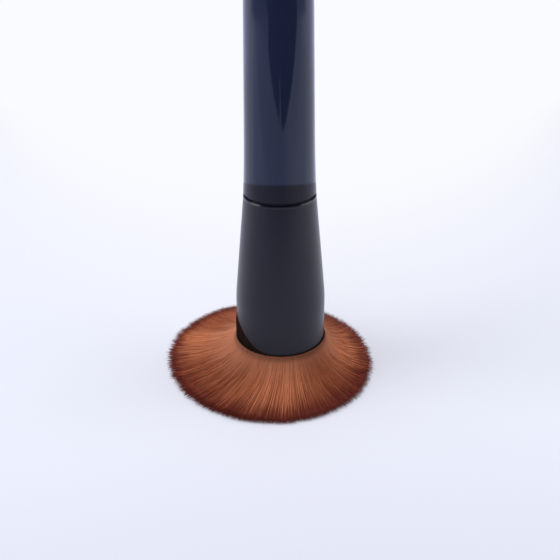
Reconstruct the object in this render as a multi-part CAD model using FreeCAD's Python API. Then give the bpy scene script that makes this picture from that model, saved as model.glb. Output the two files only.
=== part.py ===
# Angled foundation brush, standing on its bristles, which are pressed flat and splay out round it.
#
# Frame: the origin is where the handle's axis meets the surface that the brush stands on. +Z runs up
# the handle, and the front of the brush, where its mouth is level, faces -Y. Sizes are millimetres.
#
# The pieces, as they would come apart on a bench:
#   handle        one turned wooden piece: a rounded end, a long taper, a flared foot and a tenon
#   ferrule       one drawn metal tube: a rolled lip, a straight cone, a barrel and an angled mouth
#   glue_plug     the glue that fills the ferrule round the tenon and down to the roots of the bristles
#   bristle_tuft  the bundle of fibres: roots in the ferrule, a neck below its mouth and the splayed fan
import FreeCAD, Part
import math
import os

from FreeCAD import Vector

# Handle. Its foot is a little thinner than the ferrule's lip.
BRUSH_HEIGHT = 158.0
FOOT_STEP = 0.06
FOOT_EDGE_CHAMFER = 0.25
WAIST_DEPTH = 0.38
WAIST_ABOVE_FOOT = 8.6
WAIST_BLEND = 3.5
HANDLE_END_RADIUS = 5.35
TENON_LENGTH = 14.0
TENON_CLEARANCE = 0.08
TENON_CHAMFER = 0.8
SHOULDER_GAP = 0.42

# Ferrule.
LIP_HEIGHT = 47.15
LIP_RADIUS = 8.26
LIP_BEAD = 0.05
LIP_BEAD_DEPTH = 0.25
LIP_BEAD_HEIGHT = 0.55
BARREL_RADIUS = 10.75
BARREL_TOP_HEIGHT = 21.5
BARREL_BLEND = 2.2
FERRULE_WALL = 0.45
FILLING_CLEARANCE = 0.04
MOUTH_EDGE_ROUNDING = 0.12
MOST_OF_WALL_ROUNDED = 0.4

# The mouth is level in front and cut away on a slant behind. The slant starts in front of the axis.
MOUTH_FRONT_HEIGHT = 10.5
MOUTH_SLANT = 35.5
MOUTH_SLANT_DIRECTION = 143.0
MOUTH_SLANT_START = -1.4
MOUTH_BLEND = 3.0

# Glue.
GLUE_BELOW_LIP = 2.4
ROOT_TO_TENON = 4.0

# Bristles: the neck, which bulges out below the mouth, and the fan, which is a little oval and lies
# off the axis.
NECK_BULGE = 0.7
NECK_SHOULDER_DROP = 0.5
FLARE_BELOW_MOUTH = 0.2
FAN_RADIUS = 26.85
FAN_OFFSET = 5.45
LONG_SIDE_DIRECTION = 124.5
FAN_OVAL = 0.75
FAN_OVAL_DIRECTION = 119.0
FAN_EDGE_HEIGHT = 0.45
FAN_FOOT_INSET = 0.5
FLARE_POWER = 1.3
FLARE_RINGS = 5

# Locks of bristles: ridges with partings between them, of uneven widths, with uneven tips.
LOCKS = 60
PARTING_DEPTH = 0.32
TIP_SPLIT = 0.6
TIP_SPLIT_POWER = 6
TIP_UNEVENNESS = 0.4
TIP_WAVES = 17
WIDTH_UNEVENNESS = 0.3
WIDTH_WAVES = 23

AXIS = Vector(0, 0, 1)
ORIGIN = Vector(0, 0, 0)

HANDLE_FOOT_RADIUS = LIP_RADIUS - FOOT_STEP
HANDLE_WAIST_RADIUS = HANDLE_FOOT_RADIUS - WAIST_DEPTH
FOOT_HEIGHT = LIP_HEIGHT + SHOULDER_GAP
TENON_BOTTOM = LIP_HEIGHT - TENON_LENGTH
ROOT_TOP = TENON_BOTTOM - ROOT_TO_TENON
LIP_BORE_RADIUS = LIP_RADIUS - FERRULE_WALL
BARREL_BORE_RADIUS = BARREL_RADIUS - FERRULE_WALL
TENON_RADIUS = LIP_BORE_RADIUS - TENON_CLEARANCE
NECK_RADIUS = BARREL_BORE_RADIUS + NECK_BULGE
FLARE_TOP = MOUTH_FRONT_HEIGHT - FLARE_BELOW_MOUTH
WIDEST = 2 * (FAN_RADIUS + FAN_OFFSET)


def at(radius, height):
    """A point of a turned profile."""
    return Vector(radius, 0, height)


def heading(degrees):
    """The level direction that stands at an angle from +X."""
    return Vector(math.cos(math.radians(degrees)), math.sin(math.radians(degrees)), 0)


def line(start, end):
    return Part.LineSegment(start, end).toShape()


def rounded_corner(before, corner, after, reach):
    """The two straight runs that meet at corner, with a tangent arc that starts reach away from it."""
    towards_before = (before - corner).normalize()
    towards_after = (after - corner).normalize()
    start = corner + towards_before * reach
    end = corner + towards_after * reach
    half_angle = towards_before.getAngle(towards_after) / 2
    bisector = (towards_before + towards_after).normalize()
    centre_distance = reach / math.cos(half_angle)
    arc_radius = reach * math.tan(half_angle)
    middle = corner + bisector * (centre_distance - arc_radius)
    return [line(before, start), Part.Arc(start, middle, end).toShape(), line(end, after)]


def turned(edges):
    """The solid that a closed profile makes when it is turned about the axis."""
    face = Part.Face(Part.Wire(Part.__sortEdges__(edges)))
    return face.revolve(ORIGIN, AXIS, 360)


def slab(bottom, top):
    """A block wider than the brush between two heights."""
    return Part.makeBox(2 * WIDEST, 2 * WIDEST, top - bottom, Vector(-WIDEST, -WIDEST, bottom))


def chain(points):
    """Straight runs from each point to the next."""
    return [line(start, end) for start, end in zip(points, points[1:])]


def bore_side(clearance):
    """The inside of the ferrule, from its lip down to the surface, or a line that clears it inwards."""
    return [
        at(LIP_BORE_RADIUS - clearance, LIP_HEIGHT),
        at(BARREL_BORE_RADIUS - clearance, BARREL_TOP_HEIGHT),
        at(BARREL_BORE_RADIUS - clearance, 0),
    ]


def filling(bottom, top):
    """What fills the ferrule's bore between two heights."""
    axis_top = at(0, LIP_HEIGHT)
    whole = turned(chain([axis_top] + bore_side(FILLING_CLEARANCE) + [at(0, 0), axis_top]))
    return whole.common(slab(bottom, top))


def below_mouth(drop):
    """A block that fills everything under the mouth, or under the mouth lowered by a drop."""
    level = MOUTH_FRONT_HEIGHT - drop
    rise = (WIDEST - MOUTH_SLANT_START) * math.tan(math.radians(MOUTH_SLANT))
    front = Vector(-WIDEST, 0, level)
    corner = Vector(MOUTH_SLANT_START, 0, level)
    back = Vector(WIDEST, 0, level + rise)
    front_below = Vector(-WIDEST, 0, -WIDEST)
    back_below = Vector(WIDEST, 0, -WIDEST)
    edges = rounded_corner(front, corner, back, MOUTH_BLEND)
    edges += [line(back, back_below), line(back_below, front_below), line(front_below, front)]
    face = Part.Face(Part.Wire(edges))
    face.translate(Vector(0, -WIDEST, 0))
    block = face.extrude(Vector(0, 2 * WIDEST, 0))
    block.rotate(ORIGIN, AXIS, MOUTH_SLANT_DIRECTION)
    return block


def is_outer_mouth_edge(edge, block):
    """True for an edge that lies on the block under the mouth and on the outside of the barrel."""
    halfway = edge.valueAt((edge.FirstParameter + edge.LastParameter) / 2)
    near = FERRULE_WALL / 10
    on_mouth = block.distToShape(Part.Vertex(halfway))[0] < near
    return on_mouth and math.hypot(halfway.x, halfway.y) > BARREL_RADIUS - 2 * near


def make_ferrule():
    bead_bottom = at(LIP_RADIUS, LIP_HEIGHT - LIP_BEAD_HEIGHT)
    bead_crest = at(LIP_RADIUS + LIP_BEAD, LIP_HEIGHT - LIP_BEAD_DEPTH)
    bead_top = at(LIP_RADIUS - LIP_BEAD, LIP_HEIGHT)
    corner = at(BARREL_RADIUS, BARREL_TOP_HEIGHT)
    bottom = at(BARREL_RADIUS, 0)
    edges = rounded_corner(bead_bottom, corner, bottom, BARREL_BLEND)
    edges += chain([bead_bottom, bead_crest, bead_top] + bore_side(0) + [bottom])
    block = below_mouth(0)
    tube = turned(edges).cut(block)
    mouth_edges = [edge for edge in tube.Edges if is_outer_mouth_edge(edge, block)]
    rounding = min(MOUTH_EDGE_ROUNDING, FERRULE_WALL * MOST_OF_WALL_ROUNDED)
    return tube.makeFillet(rounding, mouth_edges)


def on_circle(centre, radius, angle):
    return centre + at(radius * math.cos(angle), radius * math.sin(angle))


def make_handle():
    """The taper runs from the waist and meets the ball of the handle's end without a crease."""
    tenon_side = at(TENON_RADIUS, TENON_BOTTOM + TENON_CHAMFER)
    tenon_end = at(TENON_RADIUS - TENON_CHAMFER, TENON_BOTTOM)
    foot_inner = at(TENON_RADIUS, FOOT_HEIGHT)
    foot_edge = at(HANDLE_FOOT_RADIUS - FOOT_EDGE_CHAMFER, FOOT_HEIGHT)
    foot_side = at(HANDLE_FOOT_RADIUS, FOOT_HEIGHT + FOOT_EDGE_CHAMFER)
    waist = at(HANDLE_WAIST_RADIUS, FOOT_HEIGHT + WAIST_ABOVE_FOOT)
    ball = at(0, BRUSH_HEIGHT - HANDLE_END_RADIUS)
    from_ball = waist - ball
    lean = math.atan2(from_ball.z, from_ball.x) + math.acos(HANDLE_END_RADIUS / from_ball.Length)
    end_start = on_circle(ball, HANDLE_END_RADIUS, lean)
    end_middle = on_circle(ball, HANDLE_END_RADIUS, (lean + math.pi / 2) / 2)
    tip = at(0, BRUSH_HEIGHT)

    edges = rounded_corner(foot_side, waist, end_start, WAIST_BLEND)
    edges += [Part.Arc(end_start, end_middle, tip).toShape()]
    edges += chain([tip, at(0, TENON_BOTTOM), tenon_end, tenon_side, foot_inner, foot_edge, foot_side])
    return turned(edges)


def make_glue_plug(handle):
    """The glue takes the room in the ferrule that the tenon leaves, down to the roots."""
    return filling(ROOT_TOP, LIP_HEIGHT - GLUE_BELOW_LIP).cut(handle)


def lock_ring(radius, height, way_out, parting_depth):
    """A closed line round the tuft that runs over the crest of each lock and down into each parting.

    It is round and centred on the axis at the neck. On the way out it moves over to the centre of the
    fan and turns oval.
    """
    centre = heading(LONG_SIDE_DIRECTION) * (FAN_OFFSET * way_out)
    points = []
    for step in range(2 * LOCKS):
        turn = math.pi * step / LOCKS
        angle = turn + WIDTH_UNEVENNESS * math.sin(WIDTH_WAVES * turn) * math.pi / LOCKS
        oval = FAN_OVAL * math.cos(2 * (angle - math.radians(FAN_OVAL_DIRECTION)))
        reach = radius + way_out * (oval + TIP_UNEVENNESS * math.sin(TIP_WAVES * turn))
        depth = 0
        if step % 2:
            reach -= TIP_SPLIT * way_out ** TIP_SPLIT_POWER
            depth = parting_depth
        outwards = Vector(math.cos(angle), math.sin(angle), 0)
        points.append(centre + outwards * reach + AXIS * (height - depth))
    return Part.makePolygon(points + points[:1])


def flare_rings():
    """Rings from the neck, where the fibres stand, out to the edge, where they lie flat.

    The section is part of a superellipse: upright at the neck and level at the edge. The partings are
    deepest half way out and run out to nothing at the neck and at the edge.
    """
    rings = []
    for step in range(FLARE_RINGS + 1):
        turn = math.pi / 2 * step / FLARE_RINGS
        share_left = abs(math.cos(turn)) ** FLARE_POWER if step < FLARE_RINGS else 0
        share_up = 1 - math.sin(turn) ** FLARE_POWER
        way_out = 1 - share_left
        radius = FAN_RADIUS - (FAN_RADIUS - NECK_RADIUS) * share_left
        height = FAN_EDGE_HEIGHT + (FLARE_TOP - FAN_EDGE_HEIGHT) * share_up
        depth = PARTING_DEPTH * math.sin(math.pi * way_out) if 0 < step < FLARE_RINGS else 0
        rings.append(lock_ring(radius, height, way_out, depth))
    return rings


def make_bristle_tuft():
    rings = flare_rings()
    fan = Part.makeLoft(rings, True)
    foot = lock_ring(FAN_RADIUS - FAN_FOOT_INSET, 0, 1, 0)
    underside = Part.makeLoft([rings[-1], foot], True, True)
    neck = Part.Face(rings[0]).extrude(AXIS * (ROOT_TOP - FLARE_TOP)).common(below_mouth(NECK_SHOULDER_DROP))
    roots = filling(FLARE_TOP, ROOT_TOP)
    return roots.fuse(neck).fuse(fan).fuse(underside)


def export(name, shape):
    if not shape.isValid():
        raise RuntimeError(name + " isn't a valid shape")
    solids = shape.Solids
    print(name, "solids", len(solids), "volume_mm3", round(sum(s.Volume for s in solids), 1))
    result = solids[0] if len(solids) == 1 else Part.makeCompound(solids)
    result.exportStep(os.path.join("parts", name + ".step"))


os.makedirs("parts", exist_ok=True)
handle = make_handle()
export("handle", handle)
export("ferrule", make_ferrule())
export("glue_plug", make_glue_plug(handle))
export("bristle_tuft", make_bristle_tuft())
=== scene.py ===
import math

import bmesh
import bpy
import numpy as np
from mathutils import Matrix


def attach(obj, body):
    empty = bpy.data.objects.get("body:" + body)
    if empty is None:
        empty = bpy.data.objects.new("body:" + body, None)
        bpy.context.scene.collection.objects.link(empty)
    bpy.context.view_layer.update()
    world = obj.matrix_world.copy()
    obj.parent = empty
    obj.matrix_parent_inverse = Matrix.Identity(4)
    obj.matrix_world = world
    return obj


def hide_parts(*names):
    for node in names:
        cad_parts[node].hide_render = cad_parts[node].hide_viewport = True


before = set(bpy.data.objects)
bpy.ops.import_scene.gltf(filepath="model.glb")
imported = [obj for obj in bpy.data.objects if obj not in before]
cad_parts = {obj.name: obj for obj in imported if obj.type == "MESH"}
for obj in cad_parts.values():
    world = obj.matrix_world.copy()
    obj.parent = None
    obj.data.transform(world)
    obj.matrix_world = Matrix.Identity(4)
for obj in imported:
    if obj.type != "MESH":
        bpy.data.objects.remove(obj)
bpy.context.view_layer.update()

MM = 0.001

# The bristles, in metres, as the brush's frame has them.
NECK_RADIUS = 11.0 * MM
BORE_RADIUS = 10.3 * MM
FLARE_TOP = 10.3 * MM
FLARE_POWER = 1.3
FAN_RADIUS = 26.85 * MM
FAN_OFFSET = 5.45 * MM
FAN_OVAL = 0.75 * MM
FAN_OVAL_DIRECTION = math.radians(119)
FAN_EDGE_HEIGHT = 0.45 * MM
LONG_SIDE = math.radians(124.5)

# The ferrule's mouth: level in front, slanted behind, with a soft bend between.
MOUTH_FRONT_HEIGHT = 10.5 * MM
MOUTH_SLOPE = math.tan(math.radians(35.5))
MOUTH_SLANT_DIRECTION = math.radians(143)
MOUTH_SLANT_START = -1.4 * MM
MOUTH_BEND = 1.5 * MM

# The black paint at the handle's foot ends on a line that stands higher in front.
BAND_EDGE_HEIGHT = 49.95 * MM
BAND_EDGE_TILT = 0.256

# The ferrule's lip is smoother above this height.
LIP_ROLL_HEIGHT = 46.6 * MM

# The painted shade at the roots of the fibres, nearly black, ends at this height, a little higher in front.
PAINTED_ROOT_SHADE_HEIGHT = 9.9 * MM
PAINTED_ROOT_SHADE_TILT = 0.05

# The fibres. A station is a point on a fibre's path, and a wisp is some that share a tone.
FIBRE_SIDES = 3
FIBRE_RADIUS = 0.06 * MM
NECK_FIBRE_RADIUS = 0.09 * MM
TAPER_LENGTH = 3.0 * MM
FAN_LAYERS = 4
FAN_STATIONS = 7
FIBRES_IN_LAYER = 4600
NECK_FIBRES = 3200
WISPS = 440

# Where the fan's fibres end, in shares of the fan's radius: about this middle and this far to both
# sides of it. In front they end this much further out and this much closer together.
ENDS_MIDDLE = 0.956
ENDS_SPREAD = 0.075
ENDS_FRONT_CHANGE = 0.025

# The core: how far it is sunk under the fibres, the height of its foot and the steps round it.
CORE_SINK = 0.5 * MM
CORE_FOOT = 0.05 * MM
CORE_SPIN_STEPS = 96

# The table. The camera sees the dark wedge in front of the brush only where the lacquer mirrors it.
# The wedge widens away from its point and has soft edges.
TABLE_REACH = 3.0
WEDGE_POINT = (0.065, -0.282)
WEDGE_LEFT_SLOPE = 0.8
WEDGE_RIGHT_SLOPE = 0.36
WEDGE_EDGE = 0.008

# The camera. The photograph is 560 pixels wide, and its lens is 660 of them long.
CAMERA_PLACE = (-0.09 * MM, -139.4 * MM, 100.7 * MM)
CAMERA_TILT = math.radians(90 - 28.5)
CAMERA_ROLL = math.radians(-0.4)
SENSOR_WIDTH = 36.0
LENS_LENGTH = SENSOR_WIDTH * 660 / 560


class Value:
    """A number that varies over a surface, which takes part in sums like any other number."""

    def __init__(self, shader, socket):
        self.shader = shader
        self.socket = socket

    def combine(self, operation, first, second=0.0):
        made = self.shader.node("ShaderNodeMath", {"operation": operation}, {0: first, 1: second})
        return Value(self.shader, made.outputs[0])

    def __add__(self, other):
        return self.combine("ADD", self, other)

    def __radd__(self, other):
        return self.combine("ADD", other, self)

    def __sub__(self, other):
        return self.combine("SUBTRACT", self, other)

    def __rsub__(self, other):
        return self.combine("SUBTRACT", other, self)

    def __mul__(self, other):
        return self.combine("MULTIPLY", self, other)

    def __rmul__(self, other):
        return self.combine("MULTIPLY", other, self)

    def rise(self, start, end):
        """0 before start, 1 after end and a smooth rise between them."""
        settings = {"interpolation_type": "SMOOTHSTEP"}
        inputs = {"Value": self, "From Min": start, "From Max": end}
        made = self.shader.node("ShaderNodeMapRange", settings, inputs)
        return Value(self.shader, made.outputs[0])


class Shader:
    """The nodes of a material or of the world, and the one way in which a node is added."""

    def __init__(self, owner):
        owner.use_nodes = True
        self.owner = owner
        self.tree = owner.node_tree
        self.tree.nodes.clear()

    def node(self, kind, settings=None, inputs=None):
        made = self.tree.nodes.new(kind)
        for key, value in (settings or {}).items():
            setattr(made, key, value)
        for key, value in (inputs or {}).items():
            source = getattr(value, "socket", value)
            if isinstance(source, bpy.types.NodeSocket):
                self.tree.links.new(source, made.inputs[key])
            else:
                made.inputs[key].default_value = source
        return made

    def coordinates(self, kind="Object"):
        return self.node("ShaderNodeTexCoord").outputs[kind]

    def axes(self, place):
        parts = self.node("ShaderNodeSeparateXYZ", inputs={0: place})
        return [Value(self, socket) for socket in parts.outputs]

    def attribute(self, name):
        return Value(self, self.node("ShaderNodeAttribute", {"attribute_name": name}).outputs["Fac"])

    def ray_is(self, kind):
        return Value(self, self.node("ShaderNodeLightPath").outputs[kind])

    def noise(self, place, scale, detail=2.0, roughness=0.5):
        inputs = {"Vector": place, "Scale": scale, "Detail": detail, "Roughness": roughness}
        return Value(self, self.node("ShaderNodeTexNoise", inputs=inputs).outputs[0])

    def vector(self, operation, first, second=(0.0, 0.0, 0.0)):
        return self.node("ShaderNodeVectorMath", {"operation": operation}, {0: first, 1: second}).outputs[0]

    def blend(self, first, second, share):
        """A colour between two colours."""
        made = self.node("ShaderNodeMix", {"data_type": "RGBA"}, {"Factor": share, 6: first, 7: second})
        return made.outputs[2]

    def bump(self, height, distance, strength=1.0):
        inputs = {"Height": height, "Distance": distance, "Strength": strength}
        return self.node("ShaderNodeBump", inputs=inputs).outputs[0]

    def surface(self, inputs):
        shader = self.node("ShaderNodeBsdfPrincipled", inputs=inputs)
        self.node("ShaderNodeOutputMaterial", inputs={"Surface": shader.outputs[0]})
        return self.owner


def colour(red, green, blue):
    """A colour as it is written on a screen, from 0 to 255, as the linear one that a shader takes."""
    shares = [part / 255 for part in (red, green, blue)]
    linear = [s / 12.92 if s <= 0.04045 else ((s + 0.055) / 1.055) ** 2.4 for s in shares]
    return (*linear, 1.0)


# Finishes


def new_finish(name):
    return Shader(bpy.data.materials.new(name))


def handle_finish():
    """Dark blue lacquer with a clear coat, and a satin black painted band at the foot without it."""
    finish = new_finish("handle_lacquer")
    place = finish.coordinates()
    _, y, z = finish.axes(place)
    wobble = finish.noise(place, 900.0) * (0.25 * MM)
    tilted = z + y * BAND_EDGE_TILT + wobble
    above_band = tilted.rise(BAND_EDGE_HEIGHT - 0.3 * MM, BAND_EDGE_HEIGHT + 0.5 * MM)
    band = 1 - above_band
    cloud = finish.noise(place, 60.0, 3.0)
    blue = finish.blend(colour(34, 41, 65), colour(40, 47, 73), cloud)
    speck = finish.noise(place, 2500.0, 1.0)
    peel = finish.noise(place, 420.0, 2.0)
    return finish.surface(
        {
            "Base Color": finish.blend(blue, colour(22, 21, 34), band),
            "Roughness": 0.04 + band * 0.19 + speck * 0.03,
            "Specular IOR Level": 0.3,
            "Coat Weight": above_band * 0.32,
            "Coat Roughness": 0.04,
            "Normal": finish.bump(peel, 0.02 * MM, 0.08),
        }
    )


def ferrule_finish():
    """Satin black anodised aluminium with a fine grain and painted shade that darkens it below, smoother on
    the lip.
    """
    finish = new_finish("ferrule_black")
    place = finish.coordinates()
    _, _, z = finish.axes(place)
    rolled = z.rise(LIP_ROLL_HEIGHT, LIP_ROLL_HEIGHT + 0.1 * MM)
    grain = finish.noise(place, 5200.0, 2.0)
    cloud = finish.noise(place, 140.0, 3.0)
    black = finish.blend(colour(20, 16, 30), colour(26, 22, 40), cloud)
    return finish.surface(
        {
            # Painted shade: the base colour darkens towards the mouth.
            "Base Color": finish.blend(colour(10, 6, 16), black, z.rise(-10 * MM, 34 * MM)),
            "Roughness": 0.27 + grain * 0.08 - rolled * 0.15,
            "Specular IOR Level": 0.45,
            "Normal": finish.bump(grain, 0.01 * MM, 0.4),
        }
    )


def glue_finish():
    """Cured amber glue, with a little cloud in it."""
    finish = new_finish("cured_glue")
    cloud = finish.noise(finish.coordinates(), 300.0, 3.0)
    return finish.surface(
        {
            "Base Color": finish.blend(colour(150, 108, 60), colour(190, 150, 96), cloud),
            "Roughness": 0.2 + cloud * 0.15,
        }
    )


def streaks(finish, place, fineness):
    """A pattern of fine lines that run straight out from the axis."""
    level = finish.vector("MULTIPLY", place, (1.0, 1.0, 0.0))
    outwards = finish.vector("NORMALIZE", level)
    return finish.noise(outwards, fineness, 2.0, 0.6)


def fan_finish():
    """Fine synthetic fibres: each has its own tone, and all turn dark red towards the tip.

    They have a painted sheen next to the neck, painted shade on its right side, a painted shadow just under
    the mouth and painted shade, nearly black, at the root.
    """
    finish = new_finish("bristle_brown")
    place = finish.coordinates()
    x, y, z = finish.axes(place)
    tone = finish.attribute("tone")
    to_tip = finish.attribute("to_tip")
    sector = streaks(finish, place, 7.0)
    body = finish.blend(colour(142, 68, 37), colour(233, 149, 106), tone)
    body = finish.blend(body, colour(136, 62, 34), sector.rise(0.45, 0.75) * 0.2)
    # Painted sheen: the fibres turn paler next to the neck.
    painted_sheen_by_neck = to_tip.rise(9 * MM, 16 * MM)
    body = finish.blend(body, colour(188, 124, 94), painted_sheen_by_neck * 0.62)
    # Painted shade: the fibres darken on the right side of the neck.
    painted_shade_right_of_neck = z.rise(3 * MM, 9 * MM) * x.rise(3 * MM, 12 * MM)
    body = finish.blend(body, colour(110, 60, 42), painted_shade_right_of_neck * 0.3)
    # Painted shadow: the fibres darken just under the ferrule's mouth.
    body = finish.blend(body, colour(96, 54, 44), z.rise(8.4 * MM, 9.9 * MM) * 0.55)
    from_end = to_tip * (1.1 - x * 4.0 + y * 11.0) + (tone - 0.7) * (2.2 * MM)
    deep = finish.blend(body, colour(140, 63, 42), 1 - from_end.rise(1.5 * MM, 7 * MM))
    tipped = finish.blend(deep, colour(122, 50, 40), 1 - from_end.rise(0.3 * MM, 3.2 * MM))
    # Painted shade: the roots turn nearly black where they stand in the shade under the ferrule's mouth.
    painted_root_shade = (z + y * PAINTED_ROOT_SHADE_TILT).rise(PAINTED_ROOT_SHADE_HEIGHT - 0.2 * MM, PAINTED_ROOT_SHADE_HEIGHT + 0.2 * MM)
    return finish.surface(
        {
            "Base Color": finish.blend(tipped, colour(44, 24, 16), painted_root_shade),
            "Roughness": 0.5 + tone * 0.12,
            "Specular IOR Level": 0.18,
        }
    )


def neck_finish():
    """The fibres above the flare, painted nearly black as the shade under the ferrule's mouth."""
    finish = new_finish("bristle_root")
    tone = finish.attribute("tone")
    return finish.surface(
        {
            "Base Color": finish.blend(colour(22, 13, 9), colour(44, 27, 19), tone),
            "Roughness": 0.75 + tone * 0.1,
            "Specular IOR Level": 0.1,
        }
    )


def core_finish():
    """What shows between the fibres: more of them, in the shade of the others."""
    finish = new_finish("bristle_core")
    place = finish.coordinates()
    _, _, z = finish.axes(place)
    fine = streaks(finish, place, 90.0)
    brown = finish.blend(colour(58, 28, 20), colour(110, 60, 40), fine.rise(0.35, 0.7))
    # Painted shade: the core turns nearly black above the flare, like the fibres' roots.
    above_flare = z.rise(FLARE_TOP - 1.5 * MM, FLARE_TOP - 0.5 * MM)
    return finish.surface(
        {
            "Base Color": finish.blend(brown, colour(26, 15, 11), above_flare),
            "Roughness": 0.75 + fine * 0.1,
            "Specular IOR Level": 0.1,
            "Normal": finish.bump(fine, 0.15 * MM, 0.8),
        }
    )


# Bristles


def mouth_height(x, y):
    """The height of the ferrule's mouth over a point."""
    along = x * math.cos(MOUTH_SLANT_DIRECTION) + y * math.sin(MOUTH_SLANT_DIRECTION) - MOUTH_SLANT_START
    eased = (along + np.sqrt(along**2 + MOUTH_BEND**2)) / 2
    return MOUTH_FRONT_HEIGHT + MOUTH_SLOPE * eased


def moved_over(bearing, radius, way):
    """The place of a point of the fan, which is a little oval and lies off the axis."""
    reach = radius + FAN_OVAL * np.cos(2 * (bearing - FAN_OVAL_DIRECTION)) * way
    x = reach * np.cos(bearing) + FAN_OFFSET * math.cos(LONG_SIDE) * way
    y = reach * np.sin(bearing) + FAN_OFFSET * math.sin(LONG_SIDE) * way
    return x, y


def flare(turn, depth):
    """How far on its way to the edge a fibre is, from 0 to 1, with its radius and its height there.

    The turn runs from 0 at the neck to a quarter circle at the edge. The depth is how far under the
    surface of the tuft the fibre lies, from 0 to 1.
    """
    left = np.abs(np.cos(turn)) ** FLARE_POWER
    up = 1 - np.sin(turn) ** FLARE_POWER
    neck = NECK_RADIUS - 2.2 * MM * depth
    radius = FAN_RADIUS - (FAN_RADIUS - neck) * left
    height = FAN_EDGE_HEIGHT + (FLARE_TOP - FAN_EDGE_HEIGHT) * up
    return 1 - left, radius, height * (1 - 0.55 * depth)


def add_piece(name, mesh):
    mesh.name = name
    piece = bpy.data.objects.new(name, mesh)
    bpy.context.scene.collection.objects.link(piece)
    return piece


def shape_to_mesh(shape, name):
    bmesh.ops.recalc_face_normals(shape, faces=shape.faces)
    for face in shape.faces:
        face.smooth = True
    mesh = bpy.data.meshes.new(name)
    shape.to_mesh(mesh)
    shape.free()
    return mesh


def fibre_template(stations):
    """One straight fibre: a ring of corners at each station, at a height of the station's number."""
    shape = bmesh.new()
    bmesh.ops.create_circle(shape, cap_ends=True, segments=FIBRE_SIDES, radius=1.0)
    ring = list(shape.edges)
    for station in range(stations - 1):
        made = bmesh.ops.extrude_edge_only(shape, edges=ring)["geom"]
        corners = [item for item in made if isinstance(item, bmesh.types.BMVert)]
        ring = [item for item in made if isinstance(item, bmesh.types.BMEdge)]
        bmesh.ops.translate(shape, verts=corners, vec=(0.0, 0.0, 1.0))
    bmesh.ops.edgeloop_fill(shape, edges=ring)
    return shape_to_mesh(shape, "fibre")


def copies(mesh, count):
    """A mesh that holds a number of copies of another, one after the other."""
    holder = add_piece("holder", mesh)
    array = holder.modifiers.new("copies", "ARRAY")
    array.count = count
    array.use_relative_offset = False
    seen = holder.evaluated_get(bpy.context.evaluated_depsgraph_get())
    result = bpy.data.meshes.new_from_object(seen)
    bpy.data.objects.remove(holder)
    return result


def fibres(name, paths, thickness, tone, to_tip):
    """A piece of many fibres. The paths hold a point for each fibre and station."""
    count, stations = paths.shape[0], paths.shape[1]
    template = fibre_template(stations)
    corners = np.empty(len(template.vertices) * 3)
    template.vertices.foreach_get("co", corners)
    corners = corners.reshape(-1, 3)
    station = np.rint(corners[:, 2]).astype(int)

    along = np.gradient(paths, axis=1)
    along /= np.linalg.norm(along, axis=2, keepdims=True)
    around = np.stack([-paths[..., 1], paths[..., 0], np.zeros((count, stations))], axis=2)
    across = around - along * np.sum(around * along, axis=2, keepdims=True)
    across /= np.linalg.norm(across, axis=2, keepdims=True)
    upwards = np.cross(along, across)
    beside = corners[None, :, 0, None] * across[:, station]
    above = corners[None, :, 1, None] * upwards[:, station]
    points = paths[:, station] + (beside + above) * thickness[:, station, None]

    mesh = copies(template, count)
    mesh.vertices.foreach_set("co", points.reshape(-1))
    spread_tone = np.repeat(tone[:, None], len(station), axis=1)
    for key, values in (("tone", spread_tone), ("to_tip", to_tip[:, station])):
        layer = mesh.attributes.new(key, "FLOAT", "POINT")
        layer.data.foreach_set("value", values.reshape(-1).astype(np.float32))
    mesh.update()
    return add_piece(name, mesh)


def from_tip(paths):
    """The distance along each fibre from each station to its tip."""
    steps = np.linalg.norm(np.diff(paths, axis=1), axis=2)
    whole = np.cumsum(steps[:, ::-1], axis=1)[:, ::-1]
    return np.concatenate([whole, np.zeros((len(paths), 1))], axis=1)


def towards(heading, degrees, sharpness):
    """1 at one heading, falling to 0 on both sides of it."""
    return np.maximum(np.cos(heading - math.radians(degrees)), 0) ** sharpness


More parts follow.
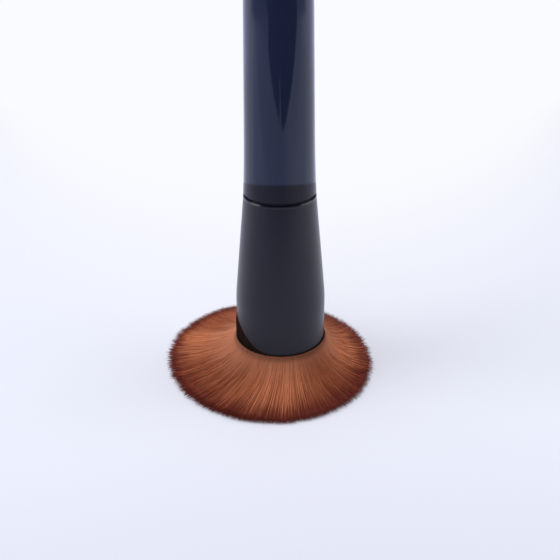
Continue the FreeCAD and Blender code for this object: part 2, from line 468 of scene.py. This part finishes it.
def fan_fibres(number):
    """One layer of the fan: fibres that leave the neck and turn out over the table."""
    draw = np.random.default_rng(100 + number)
    count = FIBRES_IN_LAYER
    heading = draw.uniform(0, 2 * math.pi, count)
    depth = 0.5 * draw.uniform(0, 1, count) ** 2 * number / FAN_LAYERS
    lock = np.sin(heading * 17) * 0.4 + np.sin(heading * 71 + 1) * 0.35 + np.sin(heading * 163 + 2) * 0.25
    number_of_wisp = (heading * WISPS / (2 * math.pi)).astype(int)
    wisp = (number_of_wisp % 2 * 2 - 1) * draw.normal(0.7, 0.5, WISPS)[number_of_wisp]
    short = draw.uniform(0, 1, count) + draw.uniform(0, 1, count)
    front = np.maximum(-np.sin(heading), 0) ** 2
    behind = towards(heading, 32, 16) + towards(heading, 157, 16)
    uneven = 0.02 * towards(heading, -40, 4) + 0.012 * behind
    middle = ENDS_MIDDLE + ENDS_FRONT_CHANGE * front + uneven
    spread = ENDS_SPREAD - ENDS_FRONT_CHANGE * front
    reach = middle + spread * (1 - short) + 0.006 * wisp - 0.08 * draw.uniform(0, 1, count) ** 6
    stray = draw.normal(0, math.radians(0.2), count) * draw.choice([1, 1, 1, 1, 7], count)

    turn = np.concatenate([[0.0], np.linspace(0.1, math.pi / 2, FAN_STATIONS - 1)])
    way, radius, height = flare(turn[None, :], depth[:, None])
    stretch = 1 + (reach[:, None] - 1) * way
    bearing = heading[:, None] + stray[:, None] * way
    x, y = moved_over(bearing, radius * stretch, way)
    lift = np.abs(draw.normal(0, 0.05 * MM, count))
    z = np.maximum(height + lift[:, None] * way, FIBRE_RADIUS)
    paths = np.stack([x, y, z], axis=2)

    to_tip = from_tip(paths)
    taper = np.clip(to_tip / TAPER_LENGTH, 0.15, 1.0) ** 0.7
    thickness = FIBRE_RADIUS * taper * draw.uniform(0.8, 1.2, count)[:, None]
    crisp = 0.18 + 1.1 * front**5
    varied = 0.15 * draw.normal(0, 1, count) + 0.32 * wisp + 0.04 * lock
    # The tone also carries painted light: a sheen that changes with the heading, in four lobes and brighter
    # in front and on the right, and painted shade on fibres that lie deeper.
    lean = math.radians(20) * np.maximum(-np.cos(heading), 0) ** 4
    around = 0.23 * np.cos(4 * (heading + lean)) - 0.07 * np.sin(heading) + 0.06 * np.cos(heading)
    tone = np.clip(0.43 + varied * crisp + around - 0.3 * depth, 0, 1)
    late = draw.normal(0, 0.9 * MM, WISPS)[number_of_wisp] + 0.8 * MM * lock
    return fibres("fan_fibres_%d" % number, paths, thickness, tone, to_tip + late[:, None])


def neck_fibres():
    """The fibres come out of the ferrule, bulge a little and stand upright down to the flare."""
    draw = np.random.default_rng(7)
    heading = draw.uniform(0, 2 * math.pi, NECK_FIBRES)
    mouth = mouth_height(BORE_RADIUS * np.cos(heading), BORE_RADIUS * np.sin(heading))
    outside = NECK_RADIUS - np.abs(draw.normal(0, 0.12 * MM, NECK_FIBRES))
    inside = np.full(NECK_FIBRES, BORE_RADIUS - 0.3 * MM)
    under_edge = (inside + outside) / 2
    radius = np.stack([inside, under_edge, outside, outside], axis=1)
    # The neck fibres end where the painted root shade on the fan begins.
    bottom = PAINTED_ROOT_SHADE_HEIGHT - PAINTED_ROOT_SHADE_TILT * NECK_RADIUS * np.sin(heading) - 0.3 * MM
    low = mouth - 0.1 * MM
    z = np.stack([mouth + 0.6 * MM, low, low * 0.6 + bottom * 0.4, bottom], axis=1)
    stray = draw.normal(0, math.radians(0.4), NECK_FIBRES)
    bearing = heading[:, None] + stray[:, None] * np.linspace(0, 1, z.shape[1])[None, :]
    paths = np.stack([radius * np.cos(bearing), radius * np.sin(bearing), z], axis=2)
    thickness = np.full(paths.shape[:2], NECK_FIBRE_RADIUS)
    tone = np.clip(0.5 + 0.25 * draw.normal(0, 1, NECK_FIBRES), 0, 1)
    return fibres("neck_fibres", paths, thickness, tone, from_tip(paths))


def tuft_core():
    """The body under the fibres: the same flare, lower and smaller, turned and then moved over."""
    profile = [(0.0, MOUTH_FRONT_HEIGHT), (BORE_RADIUS * 0.97, MOUTH_FRONT_HEIGHT)]
    for turn in np.linspace(0, math.pi / 2, 14):
        way, radius, height = flare(turn, 0.0)
        lower = float(max(height - CORE_SINK, 0.2 * MM))
        profile.append((float(radius - CORE_SINK * (1 + 2 * way)), lower))
    profile.append((FAN_RADIUS - 4 * CORE_SINK, CORE_FOOT))
    profile.append((0.0, CORE_FOOT))
    shape = bmesh.new()
    corners = [shape.verts.new((radius, 0.0, height)) for radius, height in profile]
    line = [shape.edges.new(pair) for pair in zip(corners, corners[1:])]
    bmesh.ops.spin(
        shape,
        geom=corners + line,
        axis=(0, 0, 1),
        cent=(0, 0, 0),
        angle=2 * math.pi,
        steps=CORE_SPIN_STEPS,
        use_merge=True,
    )
    bmesh.ops.remove_doubles(shape, verts=shape.verts, dist=0.01 * MM)
    for corner in shape.verts:
        radius = math.hypot(corner.co.x, corner.co.y)
        way = max(0.0, min(1.0, (radius - NECK_RADIUS) / (FAN_RADIUS - NECK_RADIUS)))
        corner.co.x, corner.co.y = moved_over(math.atan2(corner.co.y, corner.co.x), radius, way)
    return add_piece("tuft_core", shape_to_mesh(shape, "tuft_core"))


def dress(piece, finish):
    piece.data.materials.clear()
    piece.data.materials.append(finish)


def dress_bristles():
    core = tuft_core()
    dress(core, core_finish())
    neck = neck_fibres()
    dress(neck, neck_finish())
    brown = fan_finish()
    layers = [fan_fibres(number) for number in range(1, FAN_LAYERS + 1)]
    for layer in layers:
        dress(layer, brown)
    for piece in [core, neck] + layers:
        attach(piece, "root")
    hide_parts("bristle_tuft")


def dress_cad():
    dress(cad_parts["handle"], handle_finish())
    dress(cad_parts["ferrule"], ferrule_finish())
    dress(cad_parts["glue_plug"], glue_finish())


# The studio


def softbox(name, place, size, power):
    """A square lamp that looks at the brush's ferrule."""
    lamp = bpy.data.lights.new(name, "AREA")
    lamp.shape = "SQUARE"
    lamp.size = size
    lamp.energy = power
    holder = bpy.data.objects.new(name, lamp)
    holder.location = place
    direction = -holder.location
    direction.z += 0.03
    holder.rotation_euler = direction.to_track_quat("-Z", "Y").to_euler()
    bpy.context.scene.collection.objects.link(holder)


def table():
    """A pale table that takes the brush's shadow and fades into the backdrop.

    The camera and the reflections see it glow far from the brush. To every ray but the camera's it
    is greyer in front, and has the dark wedge there with a pale gap in it.
    """
    shape = bmesh.new()
    bmesh.ops.create_grid(shape, x_segments=1, y_segments=1, size=TABLE_REACH)
    mesh = bpy.data.meshes.new("table")
    shape.to_mesh(mesh)
    shape.free()
    top = add_piece("table", mesh)
    finish = new_finish("table")
    x, y, _ = finish.axes(finish.coordinates())
    seen = finish.ray_is("Is Camera Ray")
    unseen = 1 - seen
    beside = x - WEDGE_POINT[0]
    ahead = WEDGE_POINT[1] - y
    wide = ahead * (1.4 - ahead.rise(0.0, 0.7) * 0.6)
    left_of_edge = (wide - beside * WEDGE_RIGHT_SLOPE).rise(0.0, WEDGE_EDGE)
    right_of_edge = (wide + beside * WEDGE_LEFT_SLOPE).rise(0.0, WEDGE_EDGE)
    inside = left_of_edge * right_of_edge
    gap = x.rise(0.006, 0.01) * (1 - x.rise(0.028, 0.032)) * y.rise(-0.5, -0.49)
    close = 1 - y.rise(-0.25, -0.09) * 0.58 - y.rise(-0.04, 0.03) * 0.42
    shade = close * (1 - x.rise(0.0, 0.15) * 0.5) + (1 - x.rise(-0.15, 0.15)) * 0.2
    # Painted shade: the camera sees the table a little darker in front of the brush.
    painted_shade_in_front = (1 - y.rise(-0.07, -0.02)) * seen
    pale = finish.blend(colour(233, 235, 246), colour(223, 225, 238), painted_shade_in_front)
    near = finish.blend(pale, colour(164, 172, 202), shade * unseen)
    mirrored = finish.blend(near, colour(12, 12, 14), inside * (1 - gap) * unseen)
    paler = (y - x * x * 6.0).rise(-0.02, 0.14)
    beyond = (x * x + y * y).rise(0.06, 0.3)
    reflected = finish.ray_is("Is Glossy Ray") + finish.ray_is("Is Transmission Ray")
    far = (paler + beyond) * seen + (paler + beyond * y.rise(0.0, 0.3)) * reflected
    bluer = (0.96, 0.99, 1.3, 1.0)
    glow = finish.blend(colour(250, 251, 255), bluer, reflected)
    finish.surface(
        {
            "Base Color": finish.blend(mirrored, colour(0, 0, 0), far),
            "Emission Color": finish.blend(colour(0, 0, 0), glow, far),
            "Emission Strength": 1.0,
            "Roughness": 0.9,
            "Specular IOR Level": 0.0,
        }
    )
    dress(top, finish.owner)


def surroundings():
    """A pale backdrop for the camera, and behind the brush for reflections. Its light is dim."""
    world = bpy.data.worlds.new("studio")
    bpy.context.scene.world = world
    shader = Shader(world)
    _, y, z = shader.axes(shader.coordinates("Generated"))
    above = z.rise(-0.02, 0.02)
    behind = y.rise(-0.7, 0.4)
    seen = {"Color": colour(249, 250, 254), "Strength": 1.0}
    backdrop = shader.node("ShaderNodeBackground", inputs=seen)
    dim = {"Color": (0.95, 0.96, 1.0, 1.0), "Strength": above * (behind * 0.62 + 0.15) + 0.02}
    light = shader.node("ShaderNodeBackground", inputs=dim)
    mirrored = (shader.ray_is("Is Glossy Ray") + shader.ray_is("Is Transmission Ray")) * above * behind
    share = mirrored + shader.ray_is("Is Camera Ray")
    sources = {0: share, 1: light.outputs[0], 2: backdrop.outputs[0]}
    mixed = shader.node("ShaderNodeMixShader", inputs=sources)
    shader.node("ShaderNodeOutputWorld", inputs={0: mixed.outputs[0]})


def camera():
    """The photograph's view: from in front, looking down by 28.5 degrees, with a slight roll."""
    lens = bpy.data.cameras.new("camera")
    lens.sensor_width = SENSOR_WIDTH
    lens.lens = LENS_LENGTH
    lens.clip_start = 0.01
    holder = bpy.data.objects.new("camera", lens)
    holder.location = CAMERA_PLACE
    tilt = Matrix.Rotation(CAMERA_TILT, 3, "X")
    roll = Matrix.Rotation(CAMERA_ROLL, 3, "Z")
    holder.rotation_euler = (tilt @ roll).to_euler()
    bpy.context.scene.collection.objects.link(holder)
    bpy.context.scene.camera = holder


dress_cad()
dress_bristles()
table()
surroundings()
softbox("top_lamp", (-0.3, -0.28, 1.0), 0.9, 5.2)
softbox("left_lamp", (-0.9, -0.15, 0.45), 0.6, 2.9)
softbox("right_lamp", (0.9, 0.05, 0.5), 0.9, 3.0)
camera()
bpy.context.scene.view_settings.view_transform = "Standard"
